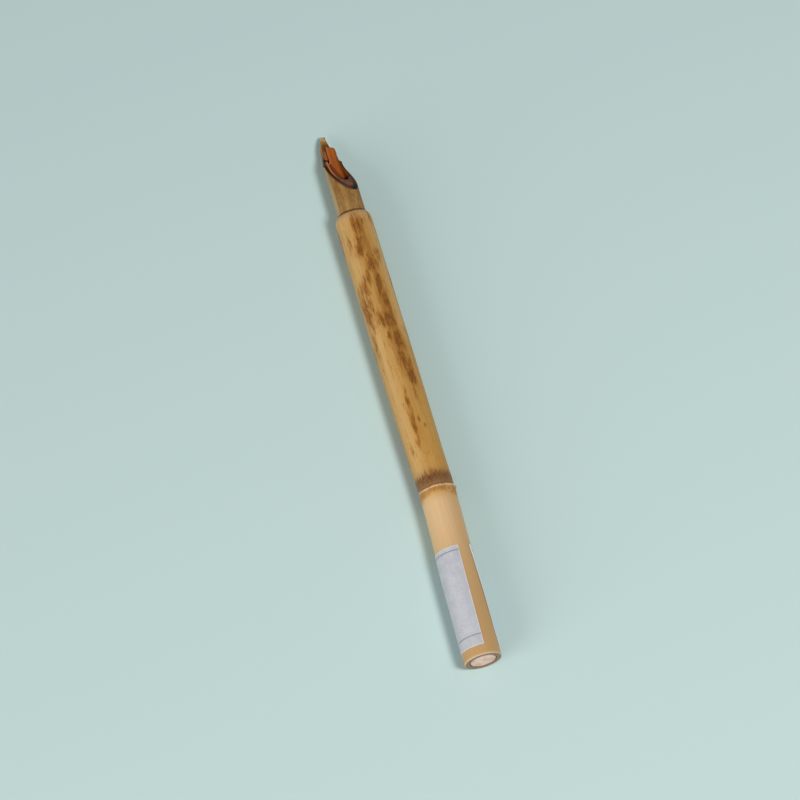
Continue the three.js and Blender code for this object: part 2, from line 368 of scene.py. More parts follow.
def scar_centre(roll):
    """Where the sheath scar runs: nearly square to the pen, with a slight waver."""
    turn = np.radians(roll)
    slant = -0.32 * np.sin(turn)
    return NODE + slant + 0.1 * np.sin(turn * 2 + 0.6) + 0.05 * np.sin(turn * 5 + 2)


def scar_height(roll):
    """The scar stands up most on the right side."""
    side = np.clip(np.cos(np.radians(roll - 88)), 0, 1)
    return 0.12 + 0.34 * side ** 1.3


def culm_radius(x, roll):
    """The outside of the culm."""
    around = noise_points(x, roll)
    radius = HOLDER_RADIUS * np.ones(around.shape[:-1])
    # a little thinner round the node
    radius -= 0.22 * smooth(-50, NODE, x) * (1 - smooth(NODE - 10, NODE - 34, x))
    # out of round, and ridged along the grain
    radius += 0.035 * rough(around, (0.045, 0.16, 0.16), 3)
    radius += 0.014 * rough(around, (0.02, 0.9, 0.9), 11)
    # the sheath scar, the groove ahead of it and the swelling on both sides of it
    crest = bump(scar_centre(roll), 0.3, x)
    radius += scar_height(roll) * crest * (1 + 0.25 * rough(around, (1.6, 1.6, 1.6), 5))
    radius -= 0.07 * bump(NODE + 0.8, 0.45, x)
    radius += 0.05 * bump(NODE + 4, 2.6, x) + 0.07 * bump(NODE - 1.6, 1.3, x)
    # the bud scar is a ring with a hollow in it
    bud = bud_distance(x, roll)
    radius += 0.07 * bump(1.0, 0.3, bud) - 0.05 * bump(0, 0.6, bud)
    return radius


def holder_finish():
    f = Finish("bamboo_skin", specular=0.35)
    fibrous = f.attribute("fibrous")
    tone = f.noise(f.grain(0.02, 0.22, 4.0), detail=3)
    base = f.mix(f.span(tone, 0.38, 0.62), colour("b5822f"), colour("c09045"))
    green = f.noise(f.grain(0.018, 0.3, 9.0), detail=2)
    base = f.mix(f.span(green, 0.5, 0.7, 0, 0.5), base, colour("a9782c"))
    # painted light: paler along the left flank, and along the right flank towards the front
    base = f.mix(f.attribute("painted_side_light"), base, colour("d6ad70"))
    brown = f.noise(f.grain(0.12, 0.9, 13.0), detail=5, roughness=0.7)
    brown = f.ragged(f.attribute("brown"), brown, 2.2)
    brown_amount = f.times(f.span(brown, 0.15, 0.85, 0, 0.8), fibrous)
    base = f.mix(brown_amount, base, colour("9a6722"))
    base = f.mix(f.attribute("front_end"), base, colour("cda472"))
    # the rear internode is paler and pinker, and darkens towards its sawn end
    rear = f.mix(f.attribute("rear_end"), colour("deb98a"), colour("c09864"))
    # painted shade on the right flank of the rear internode, next to the node
    rear = f.mix(f.attribute("rear_right_shade"), rear, colour("b98d55"))
    base = f.mix(f.attribute("rear"), base, rear)
    hair = f.noise(f.grain(0.06, 3.2, 21.0), detail=4, roughness=0.7)
    hair_amount = f.times(f.span(hair, 0.35, 0.7, 0.0, 0.3), f.attribute("rear"))
    base = f.mix(hair_amount, base, colour("b98f5e"))
    # long fibres, hardly seen behind the node
    fibre = f.noise(f.grain(0.03, 2.2, 1.0), detail=4, roughness=0.6)
    fibre_amount = f.times(f.span(fibre, 0.32, 0.72, 0.0, 0.34), fibrous)
    base = f.mix(fibre_amount, base, colour("9c6f32"))
    pale_fibre = f.noise(f.grain(0.024, 1.5, 14.0), detail=3, roughness=0.6)
    pale_amount = f.times(f.span(pale_fibre, 0.55, 0.75, 0.0, 0.36), fibrous)
    base = f.mix(pale_amount, base, colour("d2a866"))
    # brown patches, ragged along the grain, with a golden halo round them and darker flecks in them
    halo = f.times(f.span(f.attribute("mottle"), 0.04, 0.6, 0, 0.42), fibrous)
    base = f.mix(halo, base, colour("a97328"))
    ragged = f.noise(f.grain(0.2, 0.95, 2.0), detail=6, roughness=0.72, distortion=0.4)
    patch = f.ragged(f.attribute("mottle"), ragged, 2.8)
    patch_amount = f.times(f.span(patch, 0.12, 0.72, 0, 0.85), fibrous)
    base = f.mix(patch_amount, base, colour("996220"))
    fleck = f.noise(f.grain(0.6, 2.4, 6.0), detail=4, roughness=0.7, distortion=0.3)
    dark = f.ragged(f.span(patch, 0.1, 0.9), fleck, 3.2)
    dark_amount = f.times(f.span(dark, 0.5, 1.15, 0, 0.85), fibrous)
    base = f.mix(dark_amount, base, colour("764409"))
    spots = f.noise(f.grain(0.5, 2.6, 16.0), detail=2)
    spot_amount = f.times(f.span(spots, 0.66, 0.74, 0, 0.5), fibrous)
    base = f.mix(spot_amount, base, colour("8a5722"))
    # the brown band in front of the node, streaked along the grain
    streak = f.noise(f.grain(0.2, 2.6, 3.0), detail=3, roughness=0.7)
    feathered = f.span(streak, 0.3, 0.7, -0.5, 0.5)
    band = f.calc("MULTIPLY_ADD", feathered, f.attribute("feather"), f.attribute("band"))
    base = f.mix(f.span(band, 0.05, 0.7, 0, 0.95), base, colour("8b6237"))
    dash = f.noise(f.grain(0.55, 4.2, 12.0), detail=2, roughness=0.5)
    dashes = f.times(f.span(dash, 0.38, 0.58, 0.3, 1.0), f.attribute("dashes"))
    base = f.mix(dashes, base, colour("643717"))
    # the stain behind it
    stain_noise = f.noise(f.grain(0.35, 0.7, 8.0), detail=3)
    stain = f.times(f.attribute("stain"), f.span(stain_noise, 0.3, 0.62, 0.45, 1.0))
    base = f.mix(stain, base, colour("aa722f"))
    # the scar: pale, with brown dots
    dots = f.noise(f.grain(1.6, 2.0, 5.0), detail=2)
    between_dots = f.calc("ADD", f.span(dots, 0.42, 0.6), f.attribute("scar_side"))
    pale = f.mix(between_dots, colour("a87c4e"), colour("e6cca8"))
    base = f.mix(f.attribute("scar"), base, pale)
    base = f.mix(f.attribute("bud"), base, colour("b4834c"))
    base = f.mix(f.attribute("bud_ring"), base, colour("d3a878"))
    # cut faces, a painted highlight on the rear rim, the inside, and painted shadow in the socket's
    # mouth
    pores = f.noise(f.grain(1.0, 4.5, 2.0), detail=3)
    cut = f.mix(f.span(pores, 0.35, 0.65), colour("775d4b"), colour("a38a76"))
    cut = f.mix(f.attribute("cut_dark"), cut, colour("4d352a"))
    base = f.mix(f.attribute("cut"), base, cut)
    base = f.mix(f.attribute("painted_rim_highlight"), base, colour("ecd2ae"))
    base = f.mix(f.attribute("inside"), base, colour("8c6a42"))
    base = f.mix(f.attribute("mouth_shadow"), base, colour("56370f"))
    band_height = f.times(streak, f.attribute("band"))
    height = f.calc("MULTIPLY_ADD", f.times(fibre, fibrous), 0.6, band_height)
    return f.finish(base, f.span(fibre, 0.2, 0.8, 0.42, 0.56), height, 0.03)


def holder_profile():
    """(x, radius) from the wall behind the node, round the sawn end, over the skin and in again to
    the front of that wall. On the skin the second number is a height over the skin instead. Also
    gives the first skin row and the row after the last."""
    rear = HOLDER_REAR
    hole_end = rear + PLUG_HOLE_DEPTH
    path = [(NODE - SEPTUM / 2, r) for r in (0.001, 2.0, BORE_RADIUS)]
    path += [(x, BORE_RADIUS) for x in np.linspace(NODE - SEPTUM / 2, hole_end, 6)[1:]]
    path += [(x, PLUG_HOLE_RADIUS) for x in np.linspace(hole_end, rear + 0.12, 8)]
    path += [(rear + 0.03, PLUG_HOLE_RADIUS + 0.04)]
    path += [(rear, r) for r in np.linspace(PLUG_HOLE_RADIUS + 0.1, HOLDER_RADIUS - 0.3, 7)]
    skin_start = len(path)
    edge = 0.3
    for turn in np.linspace(0, math.pi / 2, 6)[1:]:
        path.append((rear + edge * (1 - math.cos(turn)), -edge * (1 - math.sin(turn))))
    # rows are closest together at the node
    parts = ((NODE - 6, 96), (NODE - 1.2, 34), (NODE + 1.4, 30), (NODE + 10, 44), (-LIP, 230))
    start = rear + edge
    for end, count in parts:
        path += [(x, 0.0) for x in np.linspace(start, end, count)[1:]]
        start = end
    lip_depth = HOLDER_RADIUS - SOCKET_RADIUS
    for turn in np.linspace(0, math.pi / 2, 12)[1:]:
        path.append((-LIP + LIP * math.sin(turn), -lip_depth * (1 - math.cos(turn))))
    skin_end = len(path)
    path += [(x, SOCKET_RADIUS) for x in np.linspace(-0.15, -SOCKET_DEPTH, 16)]
    path += [(x, BORE_RADIUS) for x in np.linspace(-SOCKET_DEPTH, NODE + SEPTUM / 2, 12)]
    path += [(NODE + SEPTUM / 2, r) for r in (2.0, 0.001)]
    return path, skin_start, skin_end


def holder_masks(x, roll, radius, on_skin):
    """The masks that holder_finish reads, by name."""
    rear = HOLDER_REAR
    behind_node = NODE - x
    skin = np.where(on_skin, 1.0, 0.0)
    at_end = (~on_skin) & (x < rear + 0.1)
    cut = np.where(at_end, 1.0, 0.0)
    cut_dark = bump(HOLDER_RADIUS - 0.2, 0.26, radius) + 0.8 * bump(PLUG_HOLE_RADIUS, 0.12, radius)
    inside = np.where(on_skin | at_end, 0.0, 1.0) * np.where(x > -0.6, 0.4, 1.0)
    # the band in front of the node and the stain behind it have wavering ends
    waver = rough(noise_points(x, roll), (0.3, 1.2, 1.2), 2)
    band_front = x - (NODE + 5.2 + 0.8 * waver)
    band = skin * (1 - smooth(-3.2, 0.6, band_front)) * smooth(NODE - 0.1, NODE + 0.3, x)
    dash_side = 0.4 + 0.6 * np.clip(np.cos(np.radians(roll + 12)), 0, 1) ** 2
    to_right = np.sin(np.radians(roll))
    ends = 1.0 - 0.75 * np.cos(np.radians(2 * (roll - 4)))
    stain_length = 1.7 + 0.9 * waver + 1.1 * ends + 1.2 * smooth(0.1, 0.6, to_right)
    stain = skin * (1 - smooth(0.5, 1.0, behind_node / stain_length)) * smooth(0, 0.3, behind_node)
    bud = bud_distance(x, roll)
    # painted light on the left flank, and on the right flank towards the front
    from_top = from_roll(roll, 0)
    left_painted_light = 0.75 * bump(-46, 36, from_top)
    right_painted_light = 0.7 * bump(56, 22, from_top) * (1 - smooth(38, 48, -x))
    return {
        "mottle": skin * mottle_mask(x, roll),
        "rear": skin * smooth(0.4, 5.5, behind_node),
        "rear_end": smooth(6, 42, behind_node),
        "painted_side_light": skin * np.maximum(left_painted_light, right_painted_light),
        "brown": skin * 0.75 * (1 - smooth(50, 64, -x)) * bump(11, 21, from_top),
        # painted shade on the rear internode's right flank
        "rear_right_shade": 0.45 * bump(52, 38, from_top) * (1 - smooth(14, 44, behind_node)),
        "front_end": skin * 0.8 * smooth(-5, -0.5, x),
        "fibrous": skin * (1 - 0.93 * smooth(0, 3, behind_node)),
        "scar_side": skin * 0.7 * smooth(0.1, 0.9, to_right),
        "band": band,
        "dashes": skin * bump(NODE + 3.1, 1.9, x) * dash_side,
        "feather": skin * (band * 0.6 + bump(NODE + 5.2, 1.6, x)),
        "stain": 0.9 * stain,
        "scar": skin * 0.85 * bump(scar_centre(roll), 0.26, x),
        "bud": skin * 0.8 * (1 - smooth(0.5, 0.9, bud)),
        "bud_ring": skin * 0.6 * bump(1.05, 0.24, bud),
        "cut": cut,
        "cut_dark": np.clip(cut * cut_dark, 0, 1),
        # painted highlight along the rim of the sawn end
        "painted_rim_highlight": 0.5 * skin * bump(rear + 0.12, 0.16, x),
        "inside": inside,
        # painted shadow in the mouth of the socket, round the nib
        "mouth_shadow": 0.85 * smooth(-0.22, -0.02, x),
    }


def make_holder():
    columns = 180
    roll = full_turn(columns)
    path, skin_start, skin_end = holder_profile()
    x = np.array([p[0] for p in path])[:, None]
    given = np.array([p[1] for p in path])[:, None]
    on_skin = np.zeros((len(path), 1), bool)
    on_skin[skin_start:skin_end] = True
    radius = np.where(on_skin, culm_radius(x, roll) + given, given)
    points = to_row(x, roll, radius)
    saw_end(points, x)
    masks = holder_masks(x, roll, radius, on_skin)
    attributes = {key: value * np.ones_like(radius) for key, value in masks.items()}
    faces = grid_faces(len(path), columns, wrap=True)
    return make_piece("holder", points.reshape(-1, 3), faces, "holder",
                      ["holder_culm"], holder_finish(), attributes)


# ---------------------------------------------------------------- end plug


def plug_finish():
    f = Finish("plug_end_grain", specular=0.3)
    tone = f.noise(f.grain(0.2, 0.45, 3.0), detail=3)
    base = f.mix(f.span(tone, 0.35, 0.65), colour("dcb5a0"), colour("efd4c4"))
    pores = f.noise(f.grain(2.0, 5.5, 1.0), detail=3, roughness=0.7)
    base = f.mix(f.span(pores, 0.55, 0.72, 0, 0.35), base, colour("b58d74"))
    base = f.mix(f.attribute("rim"), base, colour("a5826a"))
    return f.finish(base, f.span(pores, 0.3, 0.7, 0.5, 0.7), pores, 0.03)


def make_plug():
    columns = 120
    face = HOLDER_REAR + 0.03
    chamfer = 0.3
    crown = 0.06
    edge = 0.15
    edge_radius = PLUG_RADIUS - edge
    path = [(PLUG_FRONT, r) for r in (0.001, PLUG_RADIUS - chamfer)]
    path += [(x, PLUG_RADIUS) for x in np.linspace(PLUG_FRONT - chamfer, face + crown + edge, 8)]
    for turn in np.linspace(0, math.pi / 2, 7)[1:]:
        path.append((face + crown + edge * (1 - math.sin(turn)), edge_radius + edge * math.cos(turn)))
    for r in np.linspace(edge_radius, 0.001, 22)[1:]:
        path.append((face + crown * (r / edge_radius) ** 2, r))
    x, radius, points = turn_profile(path, columns)
    rim = np.where(x < HOLDER_REAR + 1.2, smooth(PLUG_RADIUS - 0.45, PLUG_RADIUS, radius), 1.0)
    faces = grid_faces(len(path), columns, wrap=True)
    return make_piece("plug", points, faces, "holder", ["end_plug"], plug_finish(),
                      {"rim": 0.7 * rim})


def glue_finish():
    f = Finish("dried_glue", roughness=0.4, specular=0.4)
    tone = f.noise(f.grain(1.2, 1.2, 2.0), detail=2)
    base = f.mix(f.span(tone, 0.35, 0.65), colour("5f4a39"), colour("80674f"))
    return f.finish(base, None, tone, 0.05)


def make_glue():
    """The line of glue between the plug and its hole, sunk in the middle."""
    columns = 120
    middle = (PLUG_RADIUS + PLUG_HOLE_RADIUS) / 2
    half = (PLUG_HOLE_RADIUS - PLUG_RADIUS) / 2
    deep = HOLDER_REAR + 2
    section = []
    for step in np.linspace(-1, 1, 7):
        section.append((HOLDER_REAR + 0.32 - 0.12 * step * step, middle + half * step))
    section += [(deep, middle + half), (deep, middle - half), section[0]]
    points = turn_profile(section, columns)[2]
    faces = grid_faces(len(section), columns, wrap=True)
    return make_piece("plug_glue", points, faces, "holder", [], glue_finish())


# ---------------------------------------------------------------- paper label

LABEL_START = 13.0     # roll of its near edge
LABEL_END = -294.0     # roll of its far edge, past the left side and underneath
LABEL_SKEW = 0.25      # how far the near edge leans over the label's length
FAR_TURN_FRONT = -9.0  # degrees that the far edge is turned at the label's front
FAR_TURN_REAR = 11.0   # and at its rear
PAPER = 0.1
FRONT_RULE = 1.4       # from the front edge to the first ruled line
REAR_RULE = 3.3        # from the rear edge to the second
RULE_WIDTH = 0.13


def label_finish():
    f = Finish("label_paper", roughness=0.85, specular=0.2)
    cloud = f.noise(f.grain(0.35, 0.35, 2.0), detail=4, roughness=0.6)
    base = f.mix(f.span(cloud, 0.3, 0.7), colour("babac0"), colour("c6c6cb"))
    fibre = f.noise(f.grain(2.2, 2.6, 5.0), detail=4, roughness=0.7, distortion=0.8)
    base = f.mix(f.span(fibre, 0.4, 0.68, 0, 0.45), base, colour("a6a6ae"))
    ink = f.noise(f.grain(3.0, 3.0, 7.0), detail=2)
    line = f.times(f.attribute("ruled"), f.span(ink, 0.25, 0.6, 0.55, 1.0))
    base = f.mix(line, base, colour("55555f"))
    # whiter along the paper's edges, with painted light on the lifted far edge and on the underside
    base = f.mix(f.attribute("pale_edge_and_light"), base, colour("f6f5f0"))
    return f.finish(base, None, fibre, 0.03)


def make_label():
    columns = 190
    rows = 150
    roll = np.linspace(LABEL_START, LABEL_END, columns)[None, :]
    x = np.linspace(LABEL_FRONT, LABEL_REAR, rows)[:, None]
    backwards = (LABEL_FRONT - x) / (LABEL_FRONT - LABEL_REAR)
    skew = LABEL_SKEW * backwards * smooth(-60, 13, roll)
    far_turn = FAR_TURN_FRONT + (FAR_TURN_REAR - FAR_TURN_FRONT) * backwards
    rolls = roll - np.degrees(skew / HOLDER_RADIUS) + far_turn * smooth(-200, LABEL_END, roll)
    around = noise_points(x, rolls)
    wrinkle = 0.02 * rough(around, (0.25, 0.5, 0.5), 21) + 0.012 * rough(around, (0.8, 1.1, 1.1), 31)
    # the far edge has come unstuck, mostly towards the front
    far_lift = 0.12 * smooth(LABEL_END + 24, LABEL_END, roll) ** 1.5
    far_lift = far_lift * (1 - 0.75 * smooth(0.45, 0.95, backwards))
    near_lift = 0.06 * smooth(LABEL_START - 4, LABEL_START, roll)
    inner = culm_radius(x, rolls) + 0.025 + np.abs(wrinkle) + far_lift + near_lift
    torn = 0.05 * rough(around, (1.4, 1.4, 1.4), 8)
    x_edge = x + torn * (smooth(0.2, 0, LABEL_FRONT - x) - smooth(0.2, 0, x - LABEL_REAR))
    top = to_row(x_edge, rolls, inner + PAPER).reshape(-1, 3)
    under = to_row(x_edge, rolls, inner).reshape(-1, 3)
    points = np.concatenate([top, under])
    count = rows * columns
    faces = grid_faces(rows, columns) + [f[::-1] for f in grid_faces(rows, columns, start=count)]
    border = list(range(columns))
    border += [r * columns + columns - 1 for r in range(1, rows)]
    border += [(rows - 1) * columns + c for c in range(columns - 2, -1, -1)]
    border += [r * columns for r in range(rows - 2, 0, -1)]
    for a, b in zip(border, border[1:] + border[:1]):
        faces.append((a, b, b + count, a + count))

    ones = np.ones((rows, columns))
    front_line = bump(LABEL_FRONT - FRONT_RULE, RULE_WIDTH, x)
    rear_line = bump(LABEL_REAR + REAR_RULE, RULE_WIDTH, x)
    ruled = np.clip((front_line + rear_line) * 1.1, 0, 1) * ones
    edges = np.maximum(bump(LABEL_FRONT, 0.12, x), bump(LABEL_REAR, 0.12, x))
    edges = np.maximum(edges, bump(LABEL_START, 1.2, roll))
    # painted light on the far edge, which has come unstuck
    edges = np.maximum(edges, 1.6 * bump(LABEL_END, 12, roll))
    both_sides = {
        "ruled": np.concatenate([ruled.ravel(), np.zeros(count)]),
        "pale_edge_and_light": np.concatenate([0.6 * edges.ravel(), 0.4 * np.ones(count)]),
    }
    return make_piece("label", points, faces, "holder", ["paper_label"],
                      label_finish(), both_sides, sharp=50)


# ---------------------------------------------------------------- cut reeds


def eased_slope(x, raised, floor, ease):
    """How far a cut surface is from the axis, towards its opening: a slope that eases to a floor."""
    line = NIB_RADIUS + raised - SCOOP_SLOPE * (np.asarray(x, float) - SCOOP_START)
    return floor + ease * np.log1p(np.exp((line - floor) / ease))


def scoop_height(x):
    return eased_slope(x, 0.0, SCOOP_FLOOR, SCOOP_EASE)


def curve_through(points, x):
    """A smooth line through (x, y) points."""
    xs = np.array([p[0] for p in points], float)
    ys = np.array([p[1] for p in points], float)
    slopes = np.gradient(ys, xs)
    x = np.clip(np.asarray(x, float), xs[0], xs[-1])
    i = np.clip(np.searchsorted(xs, x) - 1, 0, len(xs) - 2)
    step = xs[i + 1] - xs[i]
    t = (x - xs[i]) / step
    to_end = 3 * t ** 2 - 2 * t ** 3
    leaving = (t ** 3 - 2 * t ** 2 + t) * step * slopes[i]
    arriving = (t ** 3 - t ** 2) * step * slopes[i + 1]
    return ys[i] * (1 - to_end) + ys[i + 1] * to_end + leaving + arriving


def cut_angle(x, radius, height, edge, roll_gap, side, offset=0.0):
    """How many degrees from the scoop's middle the wall starts on one side, at each x.

    height is the scoop's surface, edge the trimmed half width seen from roll_gap degrees short of
    the scoop, and side 1 on the left and -1 on the right. offset is how far the middle of this
    wall's circle lies below the axis, seen from the scoop."""
    own_radius = radius - offset
    up = np.clip(height + offset, -own_radius, own_radius)
    angle = np.degrees(np.arctan2(np.sqrt(own_radius ** 2 - up ** 2), up - offset))
    middle = 180 + side * roll_gap
    across = radius * np.sin(np.radians(middle - angle))
    trimmed = middle - np.degrees(np.arcsin(np.clip(edge / radius, -1, 1)))
    is_trimmed = (edge < across) | ((angle > middle - 90) & (edge < radius))
    return np.where(is_trimmed, np.maximum(angle, trimmed), angle)


class Surfaces:
    """Grids of points that are joined into one mesh, with the masks of every point."""

    def __init__(self):
        self.points = []
        self.faces = []
        self.masks = {"cut": [], "inner": [], "near_cut": [], "right": []}

    def add(self, grid, flip, **values):
        start = sum(len(p) for p in self.points)
        rows, columns = grid.shape[:2]
        made = grid_faces(rows, columns, start=start)
        self.points.append(grid.reshape(-1, 3))
        self.faces.extend([f[::-1] for f in made] if flip else made)
        for key, kept in self.masks.items():
            kept.append((values[key] * np.ones((rows, columns))).ravel())


def end_face(outer_line, inner_line):
    """The wall's face at one end, between its outside and its inside."""
    u = np.linspace(0, 1, 4)[:, None, None]
    outer_along = np.linspace(0, 1, len(outer_line))
    inner_along = np.linspace(0, 1, len(inner_line))
    even = np.stack([np.interp(outer_along, inner_along, inner_line[:, k]) for k in range(3)], -1)
    return outer_line[None] * (1 - u) + even[None] * u


def make_reed(name, material, stations, outer_radius, inner_radius, angles, height, inner_shape,
              offset, shaved, columns, lumpy, seed):
    """A reed tube laid open. angles(x, radius, side) says where its wall starts on each side of the
    scoop's middle, height(x) where the scoop's surface is, inner_shape(x, roll, radius) and
    shaved(x, roll) what the knife did to its two sides, and offset(x) how far its bore is off
    centre. columns are for the outside, the inside and each cut face."""
    x = np.asarray(stations, float)
    xx = x[:, None]
    outer_columns, inner_columns, cut_columns = columns
    scoop = height(x)

    def wall(radius, count):
        """Rolls of the wall's columns from its left cut to its right, and how near a cut they are."""
        left = angles(x, radius, 1)[:, None]
        right = angles(x, radius, -1)[:, None]
        u = np.linspace(0, 1, count)[None, :]
        psi = left * (1 - u) + (360 - right) * u
        to_left = np.radians(psi - left) * radius
        to_right = np.radians(360 - right - psi) * radius
        nearest = np.minimum(np.abs(to_left), np.abs(to_right))
        return SCOOP_ROLL - psi, np.where(left < 0.5, 0.0, bump(0, 0.45, nearest))

    def grid(roll, radius):
        """Points of a slightly lumpy wall: x, to the right, and up."""
        around = noise_points(xx, roll, radius)
        lumps = rough(around, (0.06, 0.35, 0.35), seed)
        lumps += 0.4 * rough(around, (0.05, 1.6, 1.6), seed + 5)
        return noise_points(xx, roll, radius + lumpy * lumps)[..., [0, 2, 1]]

    outer_roll, outer_near = wall(outer_radius, outer_columns)
    inner_roll, inner_near = wall(inner_radius, inner_columns)
    outer_grid = grid(outer_roll, outer_radius - shaved(xx, outer_roll))
    inner_grid = grid(inner_roll, inner_shape(xx, inner_roll, inner_radius))
    # where the scoop has not reached the bore yet, the cut faces meet in the scoop's middle
    ceiling = inner_radius - 2 * offset(x)
    turn = math.radians(SCOOP_ROLL)
    reach = np.minimum(scoop, outer_radius)
    centre = np.stack([x, reach * math.sin(turn), reach * math.cos(turn)], -1)
    first_cut = max(int(np.argmax(scoop < outer_radius - 1e-3)) - 1, 0)

    def cut_face(column):
        """The face that the scoop leaves across the wall at its first or last column."""
        u = np.linspace(0, 1, cut_columns)[None, :, None]
        inside = np.where((scoop >= ceiling)[:, None], centre, inner_grid[:, column])
        strip = outer_grid[:, column][:, None] * (1 - u) + inside[:, None] * u
        fray = 0.035 * rough(strip, (1.1, 1.1, 1.1), seed + 9) * np.sin(np.pi * u[..., 0])
        strip[..., 1:] += fray[..., None]
        return strip[first_cut:]

    made = Surfaces()
    made.add(outer_grid, False, cut=0, inner=0, near_cut=outer_near,
             right=np.linspace(0, 1, outer_columns))
    made.add(inner_grid, True, cut=0, inner=1, near_cut=inner_near,
             right=np.linspace(0, 1, inner_columns))
    made.add(cut_face(0), True, cut=1, inner=0, near_cut=1, right=0)
    made.add(cut_face(-1), False, cut=1, inner=0, near_cut=1, right=1)
    made.add(end_face(outer_grid[0], inner_grid[0]), True, cut=1, inner=0, near_cut=1, right=0.5)
    made.add(end_face(outer_grid[-1], inner_grid[-1]), False, cut=1, inner=0, near_cut=1, right=0.5)

    forward, aside, up = np.concatenate(made.points).T
    points = np.stack([RIM_X + forward * MM, AXIS_Y - (aside + REED_SHIFT) * MM, AXIS_Z + up * MM], -1)
    attributes = {key: np.concatenate(value) for key, value in made.masks.items()}
    attributes["forward"] = forward
    attributes["aside"] = aside
    reed = name + "_reed"
    return make_piece(name, points, made.faces, name, [reed], material, attributes, sharp=40)


# Trimmed half widths, from the shoulder to the end: (x, half width). There is no trim before them.
NO_TRIM = 99.0
NIB_LEFT = [
    (17.4, 4.48), (18.6, 4.0), (19.7, 3.45), (20.9, 3.02), (24.6, 2.39), (27.3, 1.58), (29.4, 0.5),
]
NIB_RIGHT = [
    (19.2, 4.48), (20.0, 3.4), (21.5, 2.4), (24.0, 1.6), (26.2, 0.85), (27.7, 0.58), (29.4, 0.5),
]


def trimmed_edge(points, x):
    return np.where(x < points[0][0], NO_TRIM, curve_through(points, x))


def nib_angles(x, radius, side):
    edge = trimmed_edge(NIB_LEFT if side > 0 else NIB_RIGHT, x)
    return cut_angle(x, radius, scoop_height(x), edge, SCOOP_ROLL - TIP_ROLL, side)


BEVEL_LENGTH = 2.2
TIP_THICKNESS = 0.38


def nib_inner_shape(x, roll, radius):
    """The tip is thinned from inside with a short flat bevel."""
    along = np.clip((x - (NIB_TIP - BEVEL_LENGTH)) / BEVEL_LENGTH, 0, 1)
    bevel = along * (NIB_WALL - TIP_THICKNESS)
    facing = np.cos(np.radians(roll - TIP_ROLL - 180))
    return radius + bevel * np.clip(facing, 0.4, 1)


def nib_shaved(x, roll):
    """The knife has also taken a little off the outside of the left flank."""
    return 0.28 * smooth(4, 16, x) * np.clip(-np.sin(np.radians(roll)), 0, 1) ** 2


def not_shaved(x, roll):
    return np.zeros_like(roll)


STATION_STEP = 0.12
SHOULDER_STEP = 0.04


def cut_stations(rear, start, front, shoulders):
    """x values, closest together where the scoop starts and between the shoulders."""
    ease = 2.2
    parts = [np.linspace(rear, 0, 14), np.linspace(0, start, 18)]
    parts.append(start + ease * np.linspace(0, 1, 46) ** 2)
    parts.append(np.arange(start + ease + 0.1, front, STATION_STEP))
    parts.append(np.arange(shoulders[0], shoulders[1], SHOULDER_STEP))
    parts.append([front])
    values = np.unique(np.round(np.concatenate(parts), 3))
    return values[(values >= rear) & (values <= front)]


